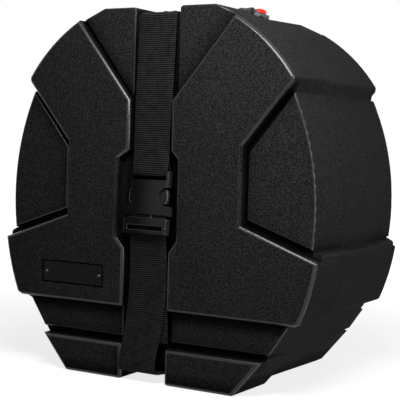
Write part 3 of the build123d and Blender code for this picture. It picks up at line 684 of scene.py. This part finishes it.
def thermoplastic_rubber():
    """Red thermoplastic rubber: a warm, even red with a soft matt skin."""
    pore_mm, pore_height = 10 / 15, 0.00008
    material, tree, shader = start_material("thermoplastic_rubber", {"IOR": 1.5, "Specular IOR Level": 0.2})
    place = add_node(tree, "ShaderNodeTexCoord").outputs["Object"]
    skin = add_node(tree, "ShaderNodeTexNoise", {"Scale": 1000 / pore_mm, "Detail": 2.0}, {"Vector": place})
    tone = add_node(
        tree,
        "ShaderNodeMix",
        {6: linear("#d81505"), 7: linear("#ec2409")},
        {0: skin.outputs["Fac"]},
        data_type="RGBA",
    )
    tree.links.new(tone.outputs[2], shader.inputs["Base Color"])
    polish = add_node(
        tree, "ShaderNodeMapRange", {"To Min": 0.45, "To Max": 0.6}, {"Value": skin.outputs["Fac"]}
    )
    tree.links.new(polish.outputs["Result"], shader.inputs["Roughness"])
    bump = add_node(
        tree, "ShaderNodeBump", {"Strength": 0.2, "Distance": pore_height}, {"Height": skin.outputs["Fac"]}
    )
    tree.links.new(bump.outputs["Normal"], shader.inputs["Normal"])
    return material


grip_nylon = glass_filled_nylon()
finish_nodes(grip_nylon, "handle_bracket_left", "handle_bracket_right")


def grip_crown():
    """The soft red crown over the grip: an arch in section, rounded off at both ends."""
    middle_y, base_z, half_deep, tall = 0.03642, 0.4496, 0.01035, 0.0052
    side_squareness, top_squareness, steps = 0.45, 0.55, 18
    stations = [(-0.0620, 0.55), (-0.0613, 0.85), (-0.0598, 1.0), (-0.03, 1.0), (0.0, 1.0)]
    stations += [(-x, scale) for x, scale in stations[-2::-1]]
    mesh = bpy.data.meshes.new("handle_insert_crown")
    work = bmesh.new()
    rings = []
    for x, scale in stations:
        ring = []
        for i in range(steps + 1):
            turn = math.pi * i / steps
            reach, rise = math.cos(turn), math.sin(turn)
            y = middle_y + scale * half_deep * math.copysign(abs(reach) ** side_squareness, reach)
            z = base_z + scale * tall * max(rise, 0.0) ** top_squareness
            ring.append(work.verts.new((x, y, z)))
        rings.append(ring)
    for one, two in zip(rings, rings[1:]):
        for i in range(steps + 1):
            k = (i + 1) % (steps + 1)
            work.faces.new((one[i], one[k], two[k], two[i]))
    work.faces.new(rings[0])
    work.faces.new(rings[-1][::-1])
    bmesh.ops.recalc_face_normals(work, faces=work.faces)
    for face in work.faces:
        face.smooth = True
    crown = close_piece(mesh, work)
    mesh.set_sharp_from_angle(angle=math.radians(50))
    mesh.materials.append(thermoplastic_rubber())
    return crown


def lowered_grip():
    """A copy of the grip whose ends drop away below the red crown."""
    end_start, shoulder_z, fall = 0.0605, 0.4497, 0.5
    mesh, work = open_copy("handle_grip", "_moulding", [grip_nylon], merge_distance=0.00001)
    for vertex in work.verts:
        past = abs(vertex.co.x) - end_start
        if past > 0:
            vertex.co.z = min(vertex.co.z, shoulder_z - past * fall)
    for face in work.faces:
        face.smooth = True
    grip = close_piece(mesh, work)
    mesh.set_sharp_from_angle(angle=math.radians(35))
    return grip


crown = grip_crown()
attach(crown, "handle")
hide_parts("handle_insert")
grip = lowered_grip()
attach(grip, "handle")
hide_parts("handle_grip")
dark_zinc = plated_steel("black_zinc_steel", "#1c1d1f", "#303236")
finish_nodes(dark_zinc, "handle_pin_left", "handle_pin_right", "handle_screws")

# Foam: charcoal polyurethane, cut from sheet for the two flat faces and from block for the rim. It is glued
# inside the shells, where it holds the drum, and its edges are crushed round.


def polyurethane_foam():
    """Open-cell polyurethane foam: charcoal, quite matt, with cells about a millimetre across that show as
    a crumb."""
    cell_mm, cell_height = 1.4, 0.0008
    material, tree, shader = start_material(
        "polyurethane_foam", {"Roughness": 0.95, "Specular IOR Level": 0.15}
    )
    place = add_node(tree, "ShaderNodeTexCoord").outputs["Object"]
    cells = add_node(tree, "ShaderNodeTexVoronoi", {"Scale": 1000 / cell_mm}, {"Vector": place})
    tone = add_node(
        tree,
        "ShaderNodeMix",
        {6: linear("#37393c"), 7: linear("#1d1e20")},
        {0: cells.outputs["Distance"]},
        data_type="RGBA",
    )
    tree.links.new(tone.outputs[2], shader.inputs["Base Color"])
    bump = add_node(
        tree,
        "ShaderNodeBump",
        {"Strength": 0.8, "Distance": cell_height},
        {"Height": cells.outputs["Distance"]},
    )
    tree.links.new(bump.outputs["Normal"], shader.inputs["Normal"])
    return material


foam = polyurethane_foam()
crushed_edge = 0.0025


def foam_piece(node_name):
    """A copy of a foam node's form with its edges crushed round."""
    mesh, work = open_copy(node_name, "_foam", [foam], merge_distance=0.00001)
    bmesh.ops.dissolve_limit(work, angle_limit=math.radians(1), verts=work.verts, edges=work.edges)
    piece = close_piece(mesh, work)
    crushed = piece.modifiers.new("crushed edges", "BEVEL")
    crushed.width, crushed.segments, crushed.limit_method = crushed_edge, 3, "ANGLE"
    crushed.angle_limit = math.radians(40)
    settle(piece)
    piece.data.polygons.foreach_set("use_smooth", [True] * len(piece.data.polygons))
    piece.data.set_sharp_from_angle(angle=math.radians(35))
    return piece


for node_name, body in (
    ("lid_pad", "lid"),
    ("base_pad", "base"),
    ("wall_pad_upper_left", "base"),
    ("wall_pad_upper_right", "base"),
    ("wall_pad_lower_left", "base"),
    ("wall_pad_lower_right", "base"),
):
    pad = foam_piece(node_name)
    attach(pad, body)
    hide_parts(node_name)

# Studio: a matt card floor in a white surround. A near lamp above on the right shades the face from top to
# bottom, and a narrow upright one on the right and a weak wide one above draw the edges. The lens is long.
floor_half = 6.0
floor_corners = [(x * floor_half, y * floor_half, 0) for x, y in ((-1, -1), (1, -1), (1, 1), (-1, 1))]
floor_mesh = bpy.data.meshes.new("floor")
floor_mesh.from_pydata(floor_corners, [], [(0, 1, 2, 3)])
floor = bpy.data.objects.new("floor", floor_mesh)
bpy.context.scene.collection.objects.link(floor)


def shown_rays(tree):
    """1 for the rays of the camera, of gloss and of glass, which see the white, and 0 for the others."""
    path = add_node(tree, "ShaderNodeLightPath")
    seen = add_node(
        tree,
        "ShaderNodeMath",
        links={0: path.outputs["Is Camera Ray"], 1: path.outputs["Is Glossy Ray"]},
        operation="MAXIMUM",
    )
    shown = add_node(
        tree,
        "ShaderNodeMath",
        links={0: seen.outputs[0], 1: path.outputs["Is Transmission Ray"]},
        operation="MAXIMUM",
    )
    return shown.outputs[0]


def white_card():
    """Matt white card: it takes the case's shadow, and further off it is as white as the surround."""
    near, far, near_white = 0.3, 1.0, 0.78
    material, tree, shader = start_material("white_card", {"Base Color": linear("#848484"), "Roughness": 0.9})
    place = add_node(tree, "ShaderNodeTexCoord").outputs["Object"]
    away = add_node(tree, "ShaderNodeVectorMath", links={0: place}, operation="LENGTH")
    strength = add_node(
        tree,
        "ShaderNodeMapRange",
        {"From Min": near, "From Max": far, "To Min": near_white, "To Max": 1.0},
        {"Value": away.outputs["Value"]},
    )
    card = add_node(
        tree, "ShaderNodeEmission", {"Color": (1, 1, 1, 1)}, {"Strength": strength.outputs["Result"]}
    )
    none = add_node(tree, "ShaderNodeEmission", {"Strength": 0.0})
    glow = add_node(
        tree, "ShaderNodeMixShader", links={0: shown_rays(tree), 1: none.outputs[0], 2: card.outputs[0]}
    )
    both = add_node(tree, "ShaderNodeAddShader", links={0: shader.outputs[0], 1: glow.outputs[0]})
    end = next(node for node in tree.nodes if node.type == "OUTPUT_MATERIAL")
    tree.links.new(both.outputs[0], end.inputs["Surface"])
    return material


floor.data.materials.append(white_card())

surround_light = 0.025
world = bpy.data.worlds.new("studio")
bpy.context.scene.world = world
world.use_nodes = True
air = world.node_tree
air.nodes.clear()
strength = add_node(
    air, "ShaderNodeMapRange", {"To Min": surround_light, "To Max": 1.0}, {"Value": shown_rays(air)}
)
surround = add_node(
    air, "ShaderNodeBackground", {"Color": (1, 1, 1, 1)}, {"Strength": strength.outputs["Result"]}
)
add_node(air, "ShaderNodeOutputWorld", links={"Surface": surround.outputs["Background"]})


def way_out(azimuth, elevation):
    """The direction out from the case at these angles in degrees. Azimuth 0 is straight ahead of the lid."""
    a, e = math.radians(azimuth), math.radians(elevation)
    return Vector((math.sin(a) * math.cos(e), -math.cos(a) * math.cos(e), math.sin(e)))


case_middle = Vector((0, 0, 0.22))
for name, azimuth, elevation, distance, width, height, watts in (
    ("lamp_key", 33, 42, 0.72, 0.35, 0.22, 7),
    ("lamp_side", 72, 6, 1.3, 0.12, 0.9, 12),
    ("lamp_top", 4, 58, 1.3, 0.9, 0.1, 2),
):
    light = bpy.data.lights.new(name, "AREA")
    light.shape = "RECTANGLE"
    light.size, light.size_y, light.energy = width, height, watts
    lamp = bpy.data.objects.new(name, light)
    bpy.context.scene.collection.objects.link(lamp)
    away = way_out(azimuth, elevation)
    lamp.location = case_middle + away * distance
    lamp.rotation_euler = away.to_track_quat("Z", "Y").to_euler()

camera_azimuth, camera_elevation, camera_roll = 29.854, 3.443, 1.529
camera_place = (0.66605, -1.16465, 0.29151)
camera_data = bpy.data.cameras.new("camera")
camera_data.lens, camera_data.sensor_width, camera_data.shift_y = 95.0, 36.0, 0.002
camera = bpy.data.objects.new("camera", camera_data)
bpy.context.scene.collection.objects.link(camera)
camera.location = camera_place
away = way_out(camera_azimuth, camera_elevation)
level = (-away).cross(Vector((0, 0, 1))).normalized()
upright = level.cross(-away)
roll = math.radians(camera_roll)
right = level * math.cos(roll) + upright * math.sin(roll)
up = upright * math.cos(roll) - level * math.sin(roll)
turn = away.to_track_quat("Z", "Y").to_matrix().to_4x4()
for row in range(3):
    turn[row][0], turn[row][1], turn[row][2] = right[row], up[row], away[row]
camera.rotation_euler = turn.to_euler()
bpy.context.scene.camera = camera
bpy.context.scene.view_settings.view_transform = "Standard"
